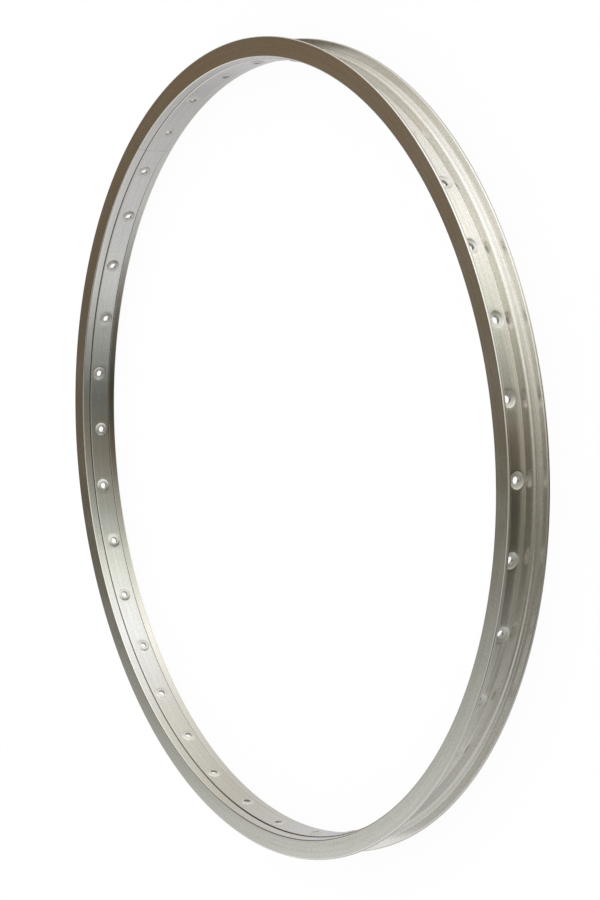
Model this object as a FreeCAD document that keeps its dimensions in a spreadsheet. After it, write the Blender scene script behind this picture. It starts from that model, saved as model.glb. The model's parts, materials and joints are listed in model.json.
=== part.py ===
"""Bicycle rim, 26 inch, 36 spoke holes: one aluminium extrusion rolled into a hoop.

The rim lies on its side. The wheel's axis is +Z, the origin is the wheel's centre,
and the valve hole is on +X. All sizes are in millimetres.
"""

import FreeCAD, Part
import math
import os

import Sketcher

doc = FreeCAD.newDocument("bicycle_rim")

# Driving sizes
SIZES = {
    # hoop
    "bead_seat_diameter": 559.0,
    "overall_width": 31.1,
    # flanges, which hold the tyre's beads
    "flange_height": 6.0,
    "flange_thickness": 2.1,
    "lip_round": 1.0,
    "seat_round": 0.8,
    # bead seats, which fall a little towards the shoulders at their inner ends
    "seat_width": 4.3,
    "seat_fall": 0.3,
    "shoulder_round": 2.4,
    # well between the shoulders
    "well_depth": 6.3,
    "well_floor_width": 14.5,
    "well_round": 0.6,
    # spoke bed under the well, with a groove on each side of it
    "bed_thickness": 2.3,
    "bed_width": 15.6,
    "groove_width": 1.1,
    "groove_depth": 0.6,
    # outer bands of the hub side, which rise from the grooves to the side walls
    "band_step": 0.6,
    "band_rise": 0.7,
    # side walls and flanges, which lean outward by an angle in degrees
    "side_angle": 5.0,
    "side_round": 1.0,
    # walls of the hollow chamber under each bead seat
    "side_wall": 1.7,
    "seat_wall": 1.5,
    "band_wall": 1.5,
    "web_wall": 1.6,
    # spoke holes, each in a bowl pressed towards the hub, which bulges on the hub side
    "spoke_count": 36,
    "spoke_hole_diameter": 4.8,
    "spoke_stagger": 1.0,
    "bowl_depth": 2.0,
    "bowl_width": 10.6,
    "bulge_height": 1.5,
    "bulge_width": 12.8,
    "bulge_top_width": 7.6,
    # valve hole
    "valve_hole_diameter": 8.5,
    # how far each bowl and bulge is drawn past the face that it meets
    "press_overlap": 0.2,
}

# Radii from the wheel's axis and offsets from its middle plane
DERIVED = {
    "seat_radius": "bead_seat_diameter / 2",
    "outer_radius": "seat_radius + flange_height",
    "side_lean": "tan(side_angle * 1 deg)",
    "side_slant": "sqrt(1 + side_lean ^ 2)",
    "lip_outside": "overall_width / 2 + lip_round * (side_lean + side_slant - 1)",
    "lip_inside": "lip_outside - flange_thickness",
    "shoulder_radius": "seat_radius - seat_fall",
    "well_radius": "shoulder_radius - well_depth",
    "well_offset": "well_floor_width / 2",
    "bed_radius": "well_radius - bed_thickness",
    "bed_offset": "bed_width / 2",
    "band_radius": "bed_radius + band_step",
    "band_offset": "bed_offset + groove_width",
    "groove_radius": "band_radius + groove_depth",
    "groove_offset": "bed_offset + groove_width / 2",
    "corner_radius": "band_radius + band_rise",
    "corner_offset": "lip_outside - side_lean * (outer_radius - corner_radius)",
    "flange_inside": "lip_inside - side_lean * flange_height",
    "shoulder_offset": "flange_inside - seat_width",
    "web_lean": "(shoulder_offset - well_offset) / well_depth",
    "web_offset": "well_offset + web_wall * sqrt(1 + web_lean ^ 2)",
    "chamber_top": "shoulder_radius - seat_wall",
    "chamber_bottom": "corner_radius + band_wall",
    "side_inside": "lip_outside - side_wall * side_slant",
    "chamber_top_outside": "side_inside - side_lean * (outer_radius - chamber_top)",
    "chamber_bottom_outside": "side_inside - side_lean * (outer_radius - chamber_bottom)",
    "chamber_top_inside": "web_offset + web_lean * (chamber_top - well_radius)",
    "chamber_bottom_inside": "web_offset + web_lean * (chamber_bottom - well_radius)",
    "spoke_pitch": "360 / spoke_count",
    "hole_reach": "spoke_hole_diameter / 2",
    "bowl_seat_radius": "well_radius - bowl_depth",
    "bowl_rim_radius": "well_radius + press_overlap",
    "bowl_reach": "bowl_width / 2",
    "bulge_radius": "bed_radius - bulge_height",
    "bulge_foot_radius": "bed_radius + press_overlap",
    "bulge_root_radius": "(bed_radius + bowl_seat_radius) / 2",
    "bulge_top_reach": "bulge_top_width / 2",
    "bulge_reach": "bulge_width / 2",
    "drill_start_radius": "bulge_radius - spoke_hole_diameter",
}

sheet = doc.addObject("Spreadsheet::Sheet", "sizes")
cells = [(alias, str(value)) for alias, value in SIZES.items()]
cells += [(alias, "=" + formula) for alias, formula in DERIVED.items()]
for row, (alias, content) in enumerate(cells, start=1):
    sheet.set(f"A{row}", alias)
    sheet.set(f"B{row}", content)
    sheet.setAlias(f"B{row}", alias)
doc.recompute()


def size(alias):
    """The value of a sheet name, or of its opposite where a minus sign leads; no name means zero."""
    if alias is None:
        return 0.0
    if alias.startswith("-"):
        return -float(sheet.get(alias[1:]))
    return float(sheet.get(alias))


def place(sketch, geometry, point, direction, alias):
    """Dimension a point from the sketch's origin along X or Y; no alias means zero."""
    kind = "Distance" + direction
    origin = (-1, 1)
    if alias is None:
        axis = -2 if direction == "X" else -1
        sketch.addConstraint(Sketcher.Constraint("PointOnObject", geometry, point, axis))
        return
    ends = (geometry, point) + origin if alias.startswith("-") else origin + (geometry, point)
    index = sketch.addConstraint(Sketcher.Constraint(kind, *ends, abs(size(alias))))
    sketch.setExpression(f"Constraints[{index}]", "sizes." + alias.lstrip("-"))


def draw_outline(sketch, corners, arcs=()):
    """Draw a closed outline through corners given as (x name, y name).

    arcs holds the edges that are arcs, numbered from the first corner, with centres on the X axis.
    """
    points = [FreeCAD.Vector(size(x_name), size(y_name), 0) for x_name, y_name in corners]
    starts = []
    for edge, start in enumerate(points):
        end = points[(edge + 1) % len(points)]
        if edge not in arcs:
            geometry = sketch.addGeometry(Part.LineSegment(start, end))
            starts.append((geometry, 1, 2))
            continue
        middle = (start + end) * 0.5
        along = end - start
        centre = FreeCAD.Vector(middle.x + middle.y * along.y / along.x, 0, 0)
        turn = (start - centre).cross(end - centre).z
        begin, finish = (start, end) if turn > 0 else (end, start)
        circle = Part.Circle(centre, FreeCAD.Vector(0, 0, 1), (start - centre).Length)
        angles = [math.atan2(p.y - centre.y, p.x - centre.x) for p in (begin, finish)]
        geometry = sketch.addGeometry(Part.ArcOfCircle(circle, *angles))
        starts.append((geometry, 1, 2) if turn > 0 else (geometry, 2, 1))
        place(sketch, geometry, 3, "Y", None)
    for edge, (geometry, start_point, end_point) in enumerate(starts):
        following, next_point, _ = starts[(edge + 1) % len(starts)]
        sketch.addConstraint(Sketcher.Constraint("Coincident", geometry, end_point, following, next_point))
        x_name, y_name = corners[edge]
        place(sketch, geometry, start_point, "X", x_name)
        place(sketch, geometry, start_point, "Y", y_name)


def origin_feature(body, role):
    return next(feature for feature in body.Origin.OriginFeatures if feature.Role == role)


def mirrored(corners):
    """The same outline on the other side of the rim's middle plane."""
    return [(x_name, "-" + y_name) for x_name, y_name in reversed(corners)]


def round_edges(body, base, name, rings, radius_name):
    """Round the ring edges of the hoop that lie at the given (radius name, offset name) places."""
    wanted = [(size(radius), sign * size(offset)) for radius, offset in rings for sign in (1, -1)]
    names = []
    for index, edge in enumerate(base.Shape.Edges, start=1):
        if not isinstance(edge.Curve, Part.Circle):
            continue
        centre = edge.Curve.Center
        for radius, offset in wanted:
            if math.isclose(edge.Curve.Radius, radius, abs_tol=1e-6) and math.isclose(
                centre.z, offset, abs_tol=1e-6
            ):
                names.append(f"Edge{index}")
    fillet = body.newObject("PartDesign::Fillet", name)
    fillet.Base = (base, names)
    fillet.setExpression("Radius", "sizes." + radius_name)
    doc.recompute()
    return fillet


def section_sketch(body):
    """The extrusion's section: radius along X, offset from the middle plane along Y."""
    sketch = body.newObject("Sketcher::SketchObject", "section")
    sketch.AttachmentSupport = (origin_feature(body, "XZ_Plane"), "")
    sketch.MapMode = "FlatFace"
    outside = [
        ("well_radius", "well_offset"),
        ("shoulder_radius", "shoulder_offset"),
        ("seat_radius", "flange_inside"),
        ("outer_radius", "lip_inside"),
        ("outer_radius", "lip_outside"),
        ("corner_radius", "corner_offset"),
        ("band_radius", "band_offset"),
        ("groove_radius", "groove_offset"),
        ("bed_radius", "bed_offset"),
    ]
    chamber = [
        ("chamber_top", "chamber_top_inside"),
        ("chamber_top", "chamber_top_outside"),
        ("chamber_bottom", "chamber_bottom_outside"),
        ("chamber_bottom", "chamber_bottom_inside"),
    ]
    draw_outline(sketch, outside + mirrored(outside))
    draw_outline(sketch, chamber)
    draw_outline(sketch, mirrored(chamber))
    return sketch


def spoke_sketch(body, name, sign):
    """An empty sketch whose X axis is the axis of the first spoke hole beside the valve hole.

    sign is 1 for the holes on the +Z side and -1 for those on the other side.
    """
    sketch = body.newObject("Sketcher::SketchObject", name)
    sketch.AttachmentSupport = (origin_feature(body, "XZ_Plane"), "")
    sketch.MapMode = "FlatFace"
    turn = FreeCAD.Rotation(FreeCAD.Vector(0, sign, 0), size("spoke_pitch") / 2)
    shift = FreeCAD.Vector(0, sign * size("spoke_stagger"), 0)
    sketch.AttachmentOffset = FreeCAD.Placement(shift, turn)
    sketch.setExpression("AttachmentOffset.Rotation.Angle", "sizes.spoke_pitch / 2")
    sketch.setExpression("AttachmentOffset.Base.y", f"{sign} * sizes.spoke_stagger")
    return sketch


def spoke_holes(body, side, sign):
    """Every second spoke hole: bulge on the hub side, pressed bowl in the well, and the hole."""
    bulge_outline = spoke_sketch(body, "bulge_outline_" + side, sign)
    draw_outline(
        bulge_outline,
        [
            ("bulge_root_radius", None),
            ("bulge_root_radius", "bulge_reach"),
            ("bulge_foot_radius", "bulge_reach"),
            ("bulge_radius", "bulge_top_reach"),
            ("bulge_radius", None),
        ],
        arcs=[2],
    )
    bulge = body.newObject("PartDesign::Revolution", "bulge_" + side)
    bulge.Profile = bulge_outline
    bulge.ReferenceAxis = (bulge_outline, ["H_Axis"])
    bulge.Angle = 360
    doc.recompute()

    bowl_outline = spoke_sketch(body, "bowl_outline_" + side, sign)
    draw_outline(
        bowl_outline,
        [
            ("drill_start_radius", None),
            ("drill_start_radius", "hole_reach"),
            ("bowl_seat_radius", "hole_reach"),
            ("bowl_rim_radius", "bowl_reach"),
            ("outer_radius", "bowl_reach"),
            ("outer_radius", None),
        ],
        arcs=[2],
    )
    bowl = body.newObject("PartDesign::Groove", "bowl_" + side)
    bowl.Profile = bowl_outline
    bowl.ReferenceAxis = (bowl_outline, ["H_Axis"])
    bowl.Angle = 360
    doc.recompute()

    pattern = body.newObject("PartDesign::PolarPattern", "spoke_holes_" + side)
    pattern.Originals = [bulge, bowl]
    pattern.Axis = (origin_feature(body, "Z_Axis"), [""])
    pattern.Angle = 360
    pattern.setExpression("Occurrences", "sizes.spoke_count / 2")
    body.Tip = pattern
    doc.recompute()


def valve_hole(body):
    """The plain round hole through the bed on +X."""
    outline = body.newObject("Sketcher::SketchObject", "valve_outline")
    outline.AttachmentSupport = (origin_feature(body, "YZ_Plane"), "")
    outline.MapMode = "FlatFace"
    circle = outline.addGeometry(
        Part.Circle(FreeCAD.Vector(), FreeCAD.Vector(0, 0, 1), size("valve_hole_diameter") / 2)
    )
    outline.addConstraint(Sketcher.Constraint("Coincident", circle, 3, -1, 1))
    index = outline.addConstraint(Sketcher.Constraint("Diameter", circle, size("valve_hole_diameter")))
    outline.setExpression(f"Constraints[{index}]", "sizes.valve_hole_diameter")
    hole = body.newObject("PartDesign::Pocket", "valve_hole")
    hole.Profile = outline
    hole.Reversed = True
    hole.setExpression("Length", "sizes.outer_radius")
    doc.recompute()


def make_rim():
    body = doc.addObject("PartDesign::Body", "rim")
    body.Label = "rim"
    section = section_sketch(body)
    hoop = body.newObject("PartDesign::Revolution", "hoop")
    hoop.Profile = section
    hoop.ReferenceAxis = (section, ["V_Axis"])
    hoop.Angle = 360
    doc.recompute()
    lip_rings = [("outer_radius", "lip_inside"), ("outer_radius", "lip_outside")]
    rounded = round_edges(body, hoop, "lips", lip_rings, "lip_round")
    rounded = round_edges(body, rounded, "seat_corners", [("seat_radius", "flange_inside")], "seat_round")
    shoulder_rings = [("shoulder_radius", "shoulder_offset")]
    rounded = round_edges(body, rounded, "shoulders", shoulder_rings, "shoulder_round")
    rounded = round_edges(body, rounded, "well_corners", [("well_radius", "well_offset")], "well_round")
    round_edges(body, rounded, "side_corners", [("corner_radius", "corner_offset")], "side_round")
    spoke_holes(body, "near", 1)
    spoke_holes(body, "far", -1)
    valve_hole(body)
    return body


rim = make_rim()

for item in doc.Objects:
    if "Invalid" in item.State or "Error" in item.State:
        raise RuntimeError(f"{item.Label} failed: {item.State}")
if rim.Shape.isNull() or not rim.Shape.isValid() or len(rim.Shape.Solids) != 1:
    raise RuntimeError("the rim isn't one valid solid")

os.makedirs("parts", exist_ok=True)
rim.Shape.exportStep(f"parts/{rim.Label}.step")
print(f"{rim.Label}: volume {rim.Shape.Volume:.0f} mm3, box {rim.Shape.BoundBox}")
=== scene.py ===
"""The bicycle rim's looks: a fine mesh of the rolled hoop in satin aluminium.

The rim lies on its side on a pale floor, and the camera looks down on it from the photograph's
viewing angle, turned so that the rim stands upright in the frame. Sizes are in metres.
"""

import json
import math

import bmesh
import bpy
from mathutils import Matrix, Vector


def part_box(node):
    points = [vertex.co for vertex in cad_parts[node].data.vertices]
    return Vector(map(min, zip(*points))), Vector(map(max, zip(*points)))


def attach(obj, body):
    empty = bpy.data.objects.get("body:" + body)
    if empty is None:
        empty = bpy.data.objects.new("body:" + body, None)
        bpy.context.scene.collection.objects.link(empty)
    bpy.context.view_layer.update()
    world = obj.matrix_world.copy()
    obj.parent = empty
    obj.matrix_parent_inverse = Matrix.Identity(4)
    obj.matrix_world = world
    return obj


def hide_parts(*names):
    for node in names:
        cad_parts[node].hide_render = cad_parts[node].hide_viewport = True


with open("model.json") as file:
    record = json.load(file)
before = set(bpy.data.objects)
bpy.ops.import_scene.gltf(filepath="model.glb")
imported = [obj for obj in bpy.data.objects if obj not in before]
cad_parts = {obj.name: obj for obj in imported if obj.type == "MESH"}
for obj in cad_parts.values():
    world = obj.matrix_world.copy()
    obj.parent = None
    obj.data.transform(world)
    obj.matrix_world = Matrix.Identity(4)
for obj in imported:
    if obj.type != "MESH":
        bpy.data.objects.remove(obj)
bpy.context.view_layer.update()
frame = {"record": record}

MM = 0.001
_, RIM_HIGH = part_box("rim")
OUTER_RADIUS = RIM_HIGH.x
HALF_WIDTH = RIM_HIGH.z
MOUNTS = {mount["name"]: mount for mount in frame["record"]["mounts"]}

# Section of the extrusion: radii from the wheel's axis, offsets from its middle plane
FLANGE_HEIGHT = 6.0 * MM
FLANGE_THICKNESS = 2.1 * MM
SEAT_WIDTH = 4.3 * MM
SEAT_FALL = 0.3 * MM
WELL_DEPTH = 6.3 * MM
WELL_OFFSET = 7.25 * MM
BED_THICKNESS = 2.3 * MM
BED_OFFSET = 7.8 * MM
GROOVE_WIDTH = 1.1 * MM
GROOVE_DEPTH = 0.6 * MM
BAND_STEP = 0.6 * MM
BAND_RISE = 0.7 * MM
SIDE_LEAN = math.tan(math.radians(5.0))

# Rounded edges of the section
LIP_ROUND = 1.0 * MM
SEAT_ROUND = 0.8 * MM
SHOULDER_ROUND = 2.4 * MM
WELL_ROUND = 0.6 * MM
SIDE_ROUND = 1.0 * MM
BAND_ROUND = 0.25 * MM
GROOVE_ROUND = 0.15 * MM
BED_ROUND = 0.3 * MM

SEAT_RADIUS = OUTER_RADIUS - FLANGE_HEIGHT
SHOULDER_RADIUS = SEAT_RADIUS - SEAT_FALL
WELL_RADIUS = SHOULDER_RADIUS - WELL_DEPTH
BED_RADIUS = WELL_RADIUS - BED_THICKNESS
BAND_RADIUS = BED_RADIUS + BAND_STEP
BAND_OFFSET = BED_OFFSET + GROOVE_WIDTH
GROOVE_RADIUS = BAND_RADIUS + GROOVE_DEPTH
GROOVE_OFFSET = BED_OFFSET + GROOVE_WIDTH / 2
CORNER_RADIUS = BAND_RADIUS + BAND_RISE
LIP_OUTSIDE = HALF_WIDTH + LIP_ROUND * (SIDE_LEAN + math.hypot(1.0, SIDE_LEAN) - 1.0)
LIP_INSIDE = LIP_OUTSIDE - FLANGE_THICKNESS
CORNER_OFFSET = LIP_OUTSIDE - SIDE_LEAN * (OUTER_RADIUS - CORNER_RADIUS)
FLANGE_INSIDE = LIP_INSIDE - SIDE_LEAN * FLANGE_HEIGHT
SHOULDER_OFFSET = FLANGE_INSIDE - SEAT_WIDTH

# Spoke holes' pressed bowls in the well, their bulges on the hub side, and the holes' broken edges
BOWL_DEPTH = 1.2 * MM
BOWL_ALONG = 5.5 * MM
BOWL_ACROSS = 5.3 * MM
BOWL_STEEPNESS = 3
BULGE_HEIGHT = 0.9 * MM
BULGE_TOP_REACH = 3.4 * MM
BULGE_REACH = 5.4 * MM
PRESS_BLEND = 0.3 * MM
HOLE_CHAMFER = 0.15 * MM

BULGE_CENTRE = (BULGE_REACH**2 - BULGE_TOP_REACH**2 - BULGE_HEIGHT**2) / (2 * BULGE_HEIGHT)
BULGE_SPHERE = math.hypot(BULGE_REACH, BULGE_CENTRE)

# The joint of the hoop, a hairline opposite the valve hole, so on -X
SEAM_HEADING = math.pi
SEAM_WIDTH = 0.24 * MM
SEAM_DEPTH = 0.08 * MM
SEAM_WEAR = 0.25

# Finishes that the material reads from the mesh: how matt the metal is, and where it is painted dark.
# A lip's crest, within CREST_DEPTH of the outer radius, has a painted dark reflection;
# hole walls and grooves have painted shade.
FINISHES = ("matt", "joint_and_painted_shade")
MATT_PRESSED = 1.0
MATT_CHANNEL = 0.28
# Painted dark reflection on the lips' crests
PAINTED_CREST_REFLECTION = 0.6
# Painted shade in the spoke holes' walls
PAINTED_HOLE_SHADE = 0.6
# Painted shade in the hub side's grooves
PAINTED_GROOVE_SHADE = 1.0
CREST_DEPTH = 0.02 * MM

# The metal's colours, and how far its marks change its roughness
BRIGHT_METAL = (0.95, 0.94, 0.91, 1.0)
DULL_METAL = (0.84, 0.82, 0.785, 1.0)
# The dark colour is painted shade and painted dark reflection where the mesh marks them, and the
# joint's own tone at the seam
JOINT_AND_PAINTED_SHADE_METAL = (0.17, 0.155, 0.14, 1.0)
DRAWN_ROUGHNESS = (0.15, 0.19)
HANDLED_ROUGHNESS = (-0.02, 0.03)
MATT_ROUGHNESS = 0.3

# Noise that marks the metal: scale, detail and roughness
FINE_LINES = (2600.0, 3.0, 0.6)
BROAD_LINES = (480.0, 2.0, 0.5)
HANDLING = (26.0, 4.0, 0.55)
GRAIN = (900.0, 2.0, 0.5)
LINE_DRIFT = 0.006

# How much of the noise shows: the mottling's share of lines and grain, and the levels that it spans
MOTTLE_LINES = 0.4
MOTTLE_GRAIN = 0.6
MOTTLE_LEVELS = (0.38, 0.62)
DRAWN_LEVELS = (0.25, 0.75)
HANDLED_LEVELS = (0.35, 0.75)
RELIEF_GRAIN = 0.5
RELIEF_STRENGTH = 0.25
RELIEF_HEIGHT = 0.02 * MM

# Mesh density
PATCH_HALF_ANGLE = math.radians(1.7)
PATCH_ALONG = 8
PATCH_ACROSS = 8
PATCH_RINGS = 11
BLEND_RINGS = 2
GAP_STEP = math.radians(1.65)
FILLET_STEPS = 5
SMALL_FILLET = 0.5 * MM
SMALL_FILLET_STEPS = 2
WALL_STEPS = 2
MERGE_DISTANCE = 1e-3 * MM
HEADING_DIGITS = 9

# Photograph's view: the camera's place and aim round the rim's centre, with headings from +X
PHOTO_RIGHT = math.radians(56.79)
CAMERA_HEADING = math.radians(61.235)
CAMERA_ELEVATION = math.radians(31.284)
CAMERA_DISTANCE = 1.25156
CAMERA_UP_HEADING = math.radians(142.262)
AIM_HEADING = math.radians(58.86)
AIM_REACH = 0.04089
LENS_MM = 70.606
SENSOR_MM = 36.0
CLIP_START = 0.01

# What the metal mirrors, by degrees clockwise from the photograph's top, in four levels from below the
# rim to overhead: a pale table at the bottom, lamps at the top and overhead, a dark room at the right
# and, from the upper level on, a brown one at the left. The colours are a fit to the photograph: many
# in the low and upper rooms come from a least-squares program, and the others were set by hand
DEEP_ROOM = [
    (-180, (0.54, 0.54, 0.53)),
    (-130, (0.47, 0.46, 0.45)),
    (-90, (0.6, 0.59, 0.58)),
    (-40, (0.6, 0.59, 0.55)),
    (0, (0.8, 0.79, 0.73)),
    (25, (1.1, 1.08, 0.99)),
    (45, (0.8, 0.81, 0.71)),
    (66, (0.4, 0.4, 0.34)),
    (88, (0.13, 0.11, 0.08)),
    (110, (0.05, 0.045, 0.03)),
    (138, (0.12, 0.11, 0.09)),
    (158, (0.36, 0.35, 0.33)),
    (180, (0.54, 0.54, 0.53)),
]
LOW_ROOM = [
    (-180, (0.56, 0.565, 0.58)),
    (-130, (0.43, 0.425, 0.43)),
    (-90, (0.6, 0.6, 0.62)),
    (-40, (0.56, 0.54, 0.49)),
    (0, (0.72, 0.71, 0.66)),
    (33, (1.02, 1.04, 1.05)),
    (52, (0.86, 0.89, 0.82)),
    (70, (0.37, 0.385, 0.345)),
    (88, (0.21, 0.19, 0.155)),
    (108, (0.13, 0.14, 0.125)),
    (126, (0.35, 0.365, 0.34)),
    (144, (0.6, 0.61, 0.61)),
    (180, (0.56, 0.565, 0.58)),
]
UPPER_ROOM = [
    (-180, (0.62, 0.63, 0.58)),
    (-150, (0.6, 0.6, 0.54)),
    (-115, (0.95, 0.95, 0.95)),
    (-103, (0.57, 0.58, 0.54)),
    (-97, (0.1, 0.09, 0.06)),
    (-86, (0.17, 0.12, 0.07)),
    (-60, (0.05, 0.04, 0.03)),
    (-30, (0.78, 0.73, 0.64)),
    (0, (1.07, 1.07, 1.05)),
    (30, (1.35, 1.33, 1.3)),
    (60, (0.88, 0.84, 0.75)),
    (90, (0.4, 0.38, 0.29)),
    (115, (0.15, 0.13, 0.08)),
    (150, (0.12, 0.11, 0.08)),
    (168, (0.42, 0.42, 0.36)),
    (180, (0.62, 0.63, 0.58)),
]
HIGH_ROOM = [
    (-180, (0.12, 0.11, 0.1)),
    (-120, (0.6, 0.6, 0.58)),
    (-104, (0.6, 0.6, 0.58)),
    (-97, (0.03, 0.025, 0.02)),
    (-75, (0.04, 0.03, 0.02)),
    (-20, (1.1, 1.1, 1.05)),
    (40, (1.1, 1.1, 1.05)),
    (100, (0.3, 0.28, 0.24)),
    (180, (0.12, 0.11, 0.1)),
]

# Heights of a unit direction over which one level passes into the next
DEEP_TO_LOW = (-0.58, -0.5)
LOW_TO_UPPER = (-0.3, 0.55)
UPPER_TO_HIGH = (0.5, 0.78)

# White floor and light
WHITE = (1.0, 1.0, 1.0, 1.0)
FLOOR_GLOW = 0.94
FLOOR_REACH = 6.0


def direction(heading, elevation=0.0):
    """Unit vector at a heading from +X and an elevation above the floor."""
    level = math.cos(elevation)
    return Vector((level * math.cos(heading), level * math.sin(heading), math.sin(elevation)))


def smooth_lower(first, second, width):
    """The lower of two values, blended where they are within width of each other."""
    share = max(width - abs(first - second), 0.0) / width
    return min(first, second) - share * share * width / 4.0


def rounded_line(corners):
    """Points along a line of (radius, offset, rounding) corners, with arcs at the rounded ones."""
    points = []
    for index, (radius, offset, rounding) in enumerate(corners):
        corner = Vector((radius, offset))
        if rounding == 0.0:
            points.append(corner)
            continue
        back = (Vector(corners[index - 1][:2]) - corner).normalized()
        onward = (Vector(corners[index + 1][:2]) - corner).normalized()
        half_angle = back.angle(onward) / 2
        centre = corner + (back + onward).normalized() * rounding / math.sin(half_angle)
        reach = rounding / math.tan(half_angle)
        first = corner + back * reach - centre
        last = corner + onward * reach - centre
        turn = first.angle_signed(last)
        steps = SMALL_FILLET_STEPS if rounding < SMALL_FILLET else FILLET_STEPS
        for step in range(steps + 1):
            swing = Matrix.Rotation(-turn * step / steps, 2)
            points.append(centre + swing @ first)
    return points


def seam_depth(heading):
    """How far the surface dips at the hoop's joint."""
    away = abs(math.remainder(heading - SEAM_HEADING, math.tau)) * BED_RADIUS
    in_middle = away < SEAM_WIDTH / 4
    return SEAM_DEPTH if in_middle else 0.0


class Hole:
    """A drilled hole of the bed, with its place and whether its edge is pressed."""

    def __init__(self, mount, pressed):
        x, y, self.offset = mount["pos_m"]
        self.heading = math.atan2(y, x) % math.tau
        self.radius = mount["dims"]["r_mm"] * MM
        self.pressed = pressed


def well_height(hole, along, offset):
    """Distance from the wheel's axis, along the hole's, of the well's floor near a hole."""
    plain = math.sqrt(WELL_RADIUS**2 - along**2)
    if not hole.pressed:
        return plain
    share = math.hypot(along / BOWL_ALONG, (offset - hole.offset) / BOWL_ACROSS)
    bowl = WELL_RADIUS - BOWL_DEPTH * (1.0 - share**BOWL_STEEPNESS)
    return smooth_lower(plain, bowl, PRESS_BLEND)


def bed_height(hole, along, offset):
    """Distance from the wheel's axis, along the hole's, of the hub side near a hole."""
    plain = math.sqrt(BED_RADIUS**2 - along**2)
    away = math.hypot(along, offset - hole.offset)
    if not hole.pressed or away >= BULGE_REACH:
        return plain
    dome = math.sqrt(BULGE_SPHERE**2 - away**2) - BULGE_CENTRE
    return plain - smooth_lower(BULGE_HEIGHT, dome, PRESS_BLEND)


class Surface:
    """Quads gathered from grids of points; neighbouring grids share the points on their borders."""

    def __init__(self):
        self.mesh = bmesh.new()
        self.finishes = [self.mesh.verts.layers.float.new(name) for name in FINISHES]

    def add_grid(self, rows, finishes=None, closed=False):
        """Quads between rows of points; closed also joins each row's end to its start.

        The finishes are one set of FINISHES values for each row.
        """
        made = [[self.mesh.verts.new(point) for point in row] for row in rows]
        for row, values in zip(made, finishes or ()):
            for layer, value in zip(self.finishes, values):
                for vertex in row:
                    vertex[layer] = value
        for lower, upper in zip(made, made[1:]):
            count = len(lower)
            for index in range(count if closed else count - 1):
                after = (index + 1) % count
                self.mesh.faces.new((lower[index], lower[after], upper[after], upper[index]))

    def make_piece(self, name):
        """The gathered quads as one smooth object of that name."""
        bmesh.ops.remove_doubles(self.mesh, verts=self.mesh.verts, dist=MERGE_DISTANCE)
        bmesh.ops.recalc_face_normals(self.mesh, faces=self.mesh.faces)
        for face in self.mesh.faces:
            face.smooth = True
        data = bpy.data.meshes.new(name)
        self.mesh.to_mesh(data)
        self.mesh.free()
        piece = bpy.data.objects.new(name, data)
        bpy.context.scene.collection.objects.link(piece)
        return piece


def ring_point(radius, offset, heading):
    """A point of the hoop, which dips a little towards the section's middle at the joint."""
    dip = seam_depth(heading)
    if dip:
        middle = Vector(((WELL_RADIUS + SEAT_RADIUS) / 2, 0.0))
        place = Vector((radius, offset))
        radius, offset = place + (middle - place).normalized() * dip
    return direction(heading) * radius + Vector((0.0, 0.0, offset))


def side_profile():
    """One side of the section, from the edge of the well's floor over the flange to that of the bed."""
    return rounded_line(
        [
            (WELL_RADIUS, 0.0, 0.0),
            (WELL_RADIUS, WELL_OFFSET, WELL_ROUND),
            (SHOULDER_RADIUS, SHOULDER_OFFSET, SHOULDER_ROUND),
            (SEAT_RADIUS, FLANGE_INSIDE, SEAT_ROUND),
            (OUTER_RADIUS, LIP_INSIDE, LIP_ROUND),
            (OUTER_RADIUS, LIP_OUTSIDE, LIP_ROUND),
            (CORNER_RADIUS, CORNER_OFFSET, SIDE_ROUND),
            (BAND_RADIUS, BAND_OFFSET, BAND_ROUND),
            (GROOVE_RADIUS, GROOVE_OFFSET, GROOVE_ROUND),
            (BED_RADIUS, BED_OFFSET, BED_ROUND),
            (BED_RADIUS, 0.0, 0.0),
        ]
    )[1:-1]


def side_finish(point):
    """Finishes of the hoop at a point of its section: matt channel sides, a painted dark reflection on
    lip crests, painted shade in grooves.
    """
    inside = WELL_RADIUS + WELL_ROUND < point.x and point.y < LIP_INSIDE
    crest = OUTER_RADIUS - point.x < CREST_DEPTH
    # The grooves get painted shade
    in_groove = BED_OFFSET + GROOVE_ROUND < point.y < BAND_OFFSET - GROOVE_ROUND and not inside
    matt = MATT_CHANNEL if inside else 0.0
    joint_and_painted_shade = PAINTED_GROOVE_SHADE if in_groove else 0.0
    # A lip's crest gets a painted dark reflection
    return matt, PAINTED_CREST_REFLECTION if crest else joint_and_painted_shade


def even_steps(start, end, count):
    """Values from start to end, with a count of equal steps between them."""
    return [start + (end - start) * step / count for step in range(count + 1)]


def spread_headings(holes):
    """For each hole, the headings across its patch and across the gap after it."""
    patches = []
    gaps = []
    for hole, following in zip(holes, holes[1:] + holes[:1]):
        start = hole.heading + PATCH_HALF_ANGLE
        end = following.heading - PATCH_HALF_ANGLE
        if end < start:
            end += math.tau
        count = math.ceil((end - start) / GAP_STEP)
        headings = even_steps(start, end, count)
        if start < SEAM_HEADING < end:
            half = SEAM_WIDTH / 2 / BED_RADIUS
            headings += [SEAM_HEADING + shift for shift in (-half, 0.0, half)]
            headings = sorted({round(heading, HEADING_DIGITS) for heading in headings})
        gaps.append(headings)
        patches.append(even_steps(hole.heading - PATCH_HALF_ANGLE, start, PATCH_ALONG))
    return patches, gaps


def patch_border(hole, headings, offsets, radius):
    """(along, offset) pairs round a patch, starting at its far corner on the lower side."""
    def on_border(heading, offset):
        return math.sin(heading - hole.heading) * radius, offset

    lower, upper = offsets[0], offsets[-1]
    border = [on_border(headings[-1], offset) for offset in offsets[:-1]]
    border += [on_border(heading, upper) for heading in reversed(headings[1:])]
    border += [on_border(headings[0], offset) for offset in reversed(offsets[1:])]
    border += [on_border(heading, lower) for heading in headings[:-1]]
    return border


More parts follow.
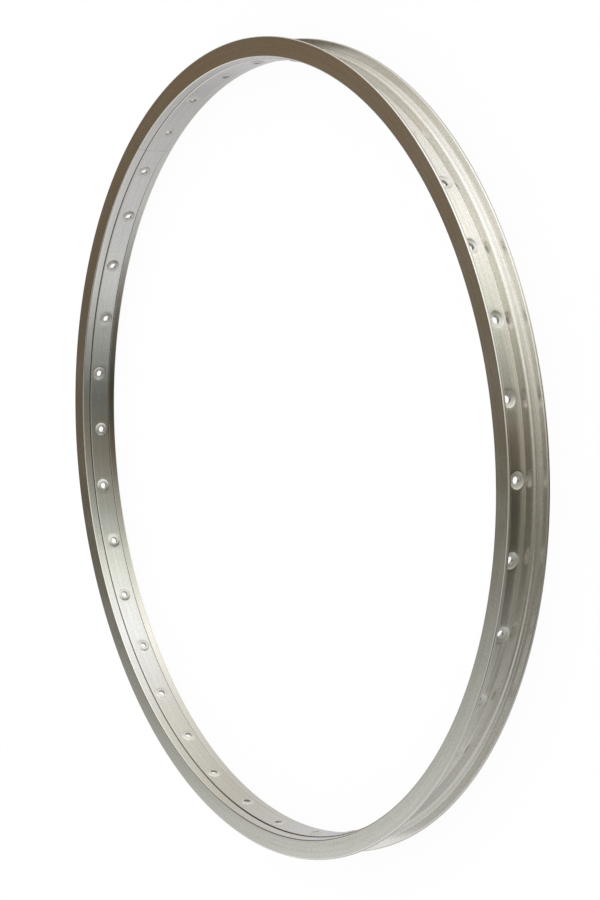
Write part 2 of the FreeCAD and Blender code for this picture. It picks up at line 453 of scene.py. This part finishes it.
def circle_angles():
    """Angles round a hole that face a patch's border: a quarter turn for each of its sides."""
    angles = []
    for side, count in enumerate((PATCH_ACROSS, PATCH_ALONG, PATCH_ACROSS, PATCH_ALONG)):
        angles += [math.pi / 4 * (2 * side - 1 + 2 * step / count) for step in range(count)]
    return angles


def add_patch(surface, hole, border, height, sink, reach_along, reach_across):
    """Rings from a hole's edge out to its patch's border. Returns the ring at the hole's edge."""
    outward = direction(hole.heading)
    sideways = direction(hole.heading + math.pi / 2)

    def ring(pairs, shift=0.0):
        points = []
        for along, offset in pairs:
            reach = height(hole, along, offset) + shift
            points.append(outward * reach + sideways * along + Vector((0.0, 0.0, offset)))
        return points

    def oval(along, across):
        return [(along * math.cos(a), hole.offset + across * math.sin(a)) for a in circle_angles()]

    edge = ring(oval(hole.radius, hole.radius), sink)
    rows = [edge]
    matt = MATT_PRESSED if hole.pressed else 0.0
    finishes = [(matt, 0.0)] * (PATCH_RINGS + 1)
    start = hole.radius + HOLE_CHAMFER
    for step in range(PATCH_RINGS + 1):
        share = step / PATCH_RINGS
        along = start + (reach_along - start) * share
        across = start + (reach_across - start) * share
        rows.append(ring(oval(along, across)))
    for step in range(1, BLEND_RINGS + 1):
        share = step / BLEND_RINGS
        outermost = oval(reach_along, reach_across)
        pairs = [
            (along + (edge_along - along) * share, offset + (edge_offset - offset) * share)
            for (along, offset), (edge_along, edge_offset) in zip(outermost, border)
        ]
        rows.append(ring(pairs))
    surface.add_grid(rows, finishes, closed=True)
    return edge


def make_rim():
    """The hoop: both sides of its section swept round, then its well and bed with their holes."""
    bores = {name: mount for name, mount in MOUNTS.items() if mount["kind"] == "bore"}
    holes = [Hole(mount, name != "valve_hole") for name, mount in bores.items()]
    holes.sort(key=lambda hole: hole.heading)
    patches, gaps = spread_headings(holes)
    surface = Surface()

    round_headings = []
    for patch, gap in zip(patches, gaps):
        round_headings += patch[:-1] + gap[:-1]
    profile = side_profile()
    for side in (1.0, -1.0):
        rows = [
            [ring_point(point.x, side * point.y, heading) for heading in round_headings]
            for point in profile
        ]
        surface.add_grid(rows, [side_finish(point) for point in profile], closed=True)

    across_well = even_steps(-profile[0].y, profile[0].y, PATCH_ACROSS)
    across_bed = even_steps(-profile[-1].y, profile[-1].y, PATCH_ACROSS)
    for gap in gaps:
        for offsets, radius in ((across_well, WELL_RADIUS), (across_bed, BED_RADIUS)):
            rows = [[ring_point(radius, offset, heading) for heading in gap] for offset in offsets]
            surface.add_grid(rows)

    for hole, headings in zip(holes, patches):
        border = patch_border(hole, headings, across_well, WELL_RADIUS)
        upper = add_patch(surface, hole, border, well_height, -HOLE_CHAMFER, BOWL_ALONG, BOWL_ACROSS)
        border = patch_border(hole, headings, across_bed, BED_RADIUS)
        lower = add_patch(surface, hole, border, bed_height, HOLE_CHAMFER, BULGE_REACH, BULGE_REACH)
        rows = [
            [top.lerp(bottom, step / WALL_STEPS) for top, bottom in zip(upper, lower)]
            for step in range(WALL_STEPS + 1)
        ]
        # The holes' walls: matt, with painted shade
        surface.add_grid(rows, [(MATT_PRESSED, PAINTED_HOLE_SHADE)] * len(rows), closed=True)
    return surface.make_piece("rim_hoop")


class Nodes:
    """A node tree with short calls for the nodes that the materials share."""

    def __init__(self, tree):
        self.tree = tree
        tree.nodes.clear()

    def add(self, kind, **settings):
        node = self.tree.nodes.new(kind)
        for name, value in settings.items():
            setattr(node, name, value)
        return node

    def feed(self, socket, value):
        """Link an output to a socket, or set the socket's own value."""
        if isinstance(value, bpy.types.NodeSocket):
            self.tree.links.new(value, socket)
        else:
            socket.default_value = value

    def math(self, operation, *values):
        node = self.add("ShaderNodeMath", operation=operation)
        for socket, value in zip(node.inputs, values):
            self.feed(socket, value)
        return node.outputs[0]

    def between(self, value, low, high, to_low, to_high):
        """A value's place between two levels, eased and turned into one between two others."""
        node = self.add("ShaderNodeMapRange", interpolation_type="SMOOTHSTEP")
        for socket, given in zip(node.inputs, (value, low, high, to_low, to_high)):
            self.feed(socket, given)
        return node.outputs[0]

    def mix_colour(self, share, first, second):
        node = self.add("ShaderNodeMix", data_type="RGBA")
        self.feed(node.inputs["Factor"], share)
        self.feed(node.inputs[6], first)
        self.feed(node.inputs[7], second)
        return node.outputs[2]

    def along(self, vector, axis):
        """How far a vector reaches along an axis."""
        node = self.add("ShaderNodeVectorMath", operation="DOT_PRODUCT")
        self.feed(node.inputs[0], vector)
        self.feed(node.inputs[1], axis)
        return node.outputs["Value"]

    def ramp(self, value, stops):
        """Colours that change along a value, from stops of (value, colour) in rising order."""
        low, high = stops[0][0], stops[-1][0]
        share = self.add("ShaderNodeMapRange")
        for socket, given in zip(share.inputs, (value, low, high, 0.0, 1.0)):
            self.feed(socket, given)
        node = self.add("ShaderNodeValToRGB")
        self.feed(node.inputs[0], share.outputs[0])
        elements = node.color_ramp.elements
        elements.remove(elements[0])
        elements[0].position = 0.0
        elements[0].color = (*stops[0][1], 1.0)
        for level, colour in stops[1:]:
            elements.new((level - low) / (high - low)).color = (*colour, 1.0)
        return node.outputs[0]

    def carried(self, name):
        """One of the finishes that the mesh carries."""
        return self.add("ShaderNodeAttribute", attribute_name=name).outputs["Fac"]

    def noise(self, vector, scale, detail, roughness):
        node = self.add("ShaderNodeTexNoise")
        self.feed(node.inputs["Vector"], vector)
        self.feed(node.inputs["Scale"], scale)
        self.feed(node.inputs["Detail"], detail)
        self.feed(node.inputs["Roughness"], roughness)
        return node.outputs["Fac"]


def satin_aluminium():
    """Drawn aluminium: fine lines along the hoop, faint handling marks, painted shade and a painted
    dark reflection where the mesh marks them, and a dark joint.
    """
    material = bpy.data.materials.new("satin_aluminium")
    material.use_nodes = True
    nodes = Nodes(material.node_tree)
    place = nodes.add("ShaderNodeTexCoord").outputs["Object"]
    split = nodes.add("ShaderNodeSeparateXYZ")
    nodes.feed(split.inputs[0], place)
    x, y, z = split.outputs
    heading = nodes.math("ARCTAN2", y, x)
    squares = nodes.math("ADD", nodes.math("MULTIPLY", x, x), nodes.math("MULTIPLY", y, y))
    radius = nodes.math("SQRT", squares)

    unrolled = nodes.add("ShaderNodeCombineXYZ")
    nodes.feed(unrolled.inputs[0], nodes.math("MULTIPLY", nodes.math("SINE", heading), LINE_DRIFT))
    nodes.feed(unrolled.inputs[1], radius)
    nodes.feed(unrolled.inputs[2], z)
    fine_lines = nodes.noise(unrolled.outputs[0], *FINE_LINES)
    broad_lines = nodes.noise(unrolled.outputs[0], *BROAD_LINES)
    handling = nodes.noise(place, *HANDLING)
    grain = nodes.noise(place, *GRAIN)

    shader = nodes.add("ShaderNodeBsdfPrincipled")
    nodes.feed(shader.inputs["Metallic"], 1.0)
    lines_share = nodes.math("MULTIPLY", broad_lines, MOTTLE_LINES)
    grain_share = nodes.math("MULTIPLY", grain, MOTTLE_GRAIN)
    mottled = nodes.between(nodes.math("ADD", lines_share, grain_share), *MOTTLE_LEVELS, 0.0, 1.0)
    colour = nodes.mix_colour(mottled, DULL_METAL, BRIGHT_METAL)
    near_seam = nodes.between(nodes.math("ABSOLUTE", y), SEAM_WIDTH, 2 * SEAM_WIDTH, SEAM_WEAR, 0.0)
    seam = nodes.math("MULTIPLY", near_seam, nodes.math("LESS_THAN", x, 0.0))
    # The mesh's marks are painted shade in holes and grooves and a painted dark reflection on lip
    # crests; the seam adds the joint's own dark tone
    joint_and_painted_shade = nodes.math("MAXIMUM", nodes.carried("joint_and_painted_shade"), seam)
    nodes.feed(shader.inputs["Base Color"], nodes.mix_colour(joint_and_painted_shade, colour, JOINT_AND_PAINTED_SHADE_METAL))
    drawn = nodes.between(fine_lines, *DRAWN_LEVELS, *DRAWN_ROUGHNESS)
    handled = nodes.between(handling, *HANDLED_LEVELS, *HANDLED_ROUGHNESS)
    matt = nodes.math("MULTIPLY", nodes.carried("matt"), MATT_ROUGHNESS)
    nodes.feed(shader.inputs["Roughness"], nodes.math("ADD", nodes.math("ADD", drawn, handled), matt))

    relief = nodes.math("ADD", fine_lines, nodes.math("MULTIPLY", grain, RELIEF_GRAIN))
    bump = nodes.add("ShaderNodeBump")
    nodes.feed(bump.inputs["Strength"], RELIEF_STRENGTH)
    nodes.feed(bump.inputs["Distance"], RELIEF_HEIGHT)
    nodes.feed(bump.inputs["Height"], relief)
    nodes.feed(shader.inputs["Normal"], bump.outputs[0])

    output = nodes.add("ShaderNodeOutputMaterial")
    nodes.feed(output.inputs["Surface"], shader.outputs[0])
    return material


def pale_floor():
    """A plain white floor that is lit from below, so that the rim's soft shadow on it stays faint."""
    material = bpy.data.materials.new("pale_floor")
    material.use_nodes = True
    nodes = Nodes(material.node_tree)
    lit = nodes.add("ShaderNodeBsdfDiffuse")
    nodes.feed(lit.inputs["Color"], WHITE)
    glowing = nodes.add("ShaderNodeEmission")
    mix = nodes.add("ShaderNodeMixShader")
    nodes.feed(mix.inputs[0], FLOOR_GLOW)
    nodes.feed(mix.inputs[1], lit.outputs[0])
    nodes.feed(mix.inputs[2], glowing.outputs[0])
    output = nodes.add("ShaderNodeOutputMaterial")
    nodes.feed(output.inputs["Surface"], mix.outputs[0])
    return material


def add_floor():
    """The floor that the rim lies on, which the metal doesn't mirror."""
    data = bpy.data.meshes.new("floor")
    signs = [(-1, -1), (1, -1), (1, 1), (-1, 1)]
    corners = [(x * FLOOR_REACH, y * FLOOR_REACH, -HALF_WIDTH) for x, y in signs]
    data.from_pydata(corners, [], [(0, 1, 2, 3)])
    floor = bpy.data.objects.new("floor", data)
    floor.data.materials.append(pale_floor())
    floor.visible_glossy = False
    bpy.context.scene.collection.objects.link(floor)


def light_studio():
    """Even white light on everything, with a studio round it that only the metal mirrors."""
    world = bpy.data.worlds.new("studio")
    bpy.context.scene.world = world
    world.use_nodes = True
    nodes = Nodes(world.node_tree)
    towards = nodes.add("ShaderNodeTexCoord").outputs["Generated"]
    right = nodes.along(towards, direction(PHOTO_RIGHT))
    top = nodes.along(towards, direction(PHOTO_RIGHT + math.pi / 2))
    level = nodes.along(towards, (0.0, 0.0, 1.0))
    heading = nodes.math("DEGREES", nodes.math("ARCTAN2", right, top))
    below = nodes.mix_colour(
        nodes.between(level, *DEEP_TO_LOW, 0.0, 1.0),
        nodes.ramp(heading, DEEP_ROOM),
        nodes.ramp(heading, LOW_ROOM),
    )
    above = nodes.mix_colour(
        nodes.between(level, *UPPER_TO_HIGH, 0.0, 1.0),
        nodes.ramp(heading, UPPER_ROOM),
        nodes.ramp(heading, HIGH_ROOM),
    )
    room = nodes.mix_colour(nodes.between(level, *LOW_TO_UPPER, 0.0, 1.0), below, above)
    mirrored = nodes.add("ShaderNodeBackground")
    nodes.feed(mirrored.inputs["Color"], room)
    even = nodes.add("ShaderNodeBackground")
    nodes.feed(even.inputs["Color"], WHITE)
    path = nodes.add("ShaderNodeLightPath")
    mix = nodes.add("ShaderNodeMixShader")
    nodes.feed(mix.inputs[0], path.outputs["Is Glossy Ray"])
    nodes.feed(mix.inputs[1], even.outputs[0])
    nodes.feed(mix.inputs[2], mirrored.outputs[0])
    output = nodes.add("ShaderNodeOutputWorld")
    nodes.feed(output.inputs["Surface"], mix.outputs[0])


def add_camera():
    """A camera at the photograph's place, rolled so that the rim stands upright in the frame."""
    data = bpy.data.cameras.new("camera")
    data.lens = LENS_MM
    data.sensor_width = SENSOR_MM
    data.clip_start = CLIP_START
    camera = bpy.data.objects.new("camera", data)
    place = direction(CAMERA_HEADING, CAMERA_ELEVATION) * CAMERA_DISTANCE
    aim = direction(AIM_HEADING) * AIM_REACH
    back = (place - aim).normalized()
    right = direction(CAMERA_UP_HEADING).cross(back).normalized()
    up = back.cross(right)
    turn = Matrix((right, up, back)).transposed()
    camera.matrix_world = Matrix.Translation(place) @ turn.to_4x4()
    bpy.context.scene.collection.objects.link(camera)
    bpy.context.scene.camera = camera


rim = make_rim()
rim.data.materials.append(satin_aluminium())
weighted = rim.modifiers.new("even_shading", "WEIGHTED_NORMAL")
weighted.keep_sharp = True
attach(rim, "root")
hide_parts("rim")

add_floor()
light_studio()
add_camera()
bpy.context.scene.view_settings.view_transform = "Standard"
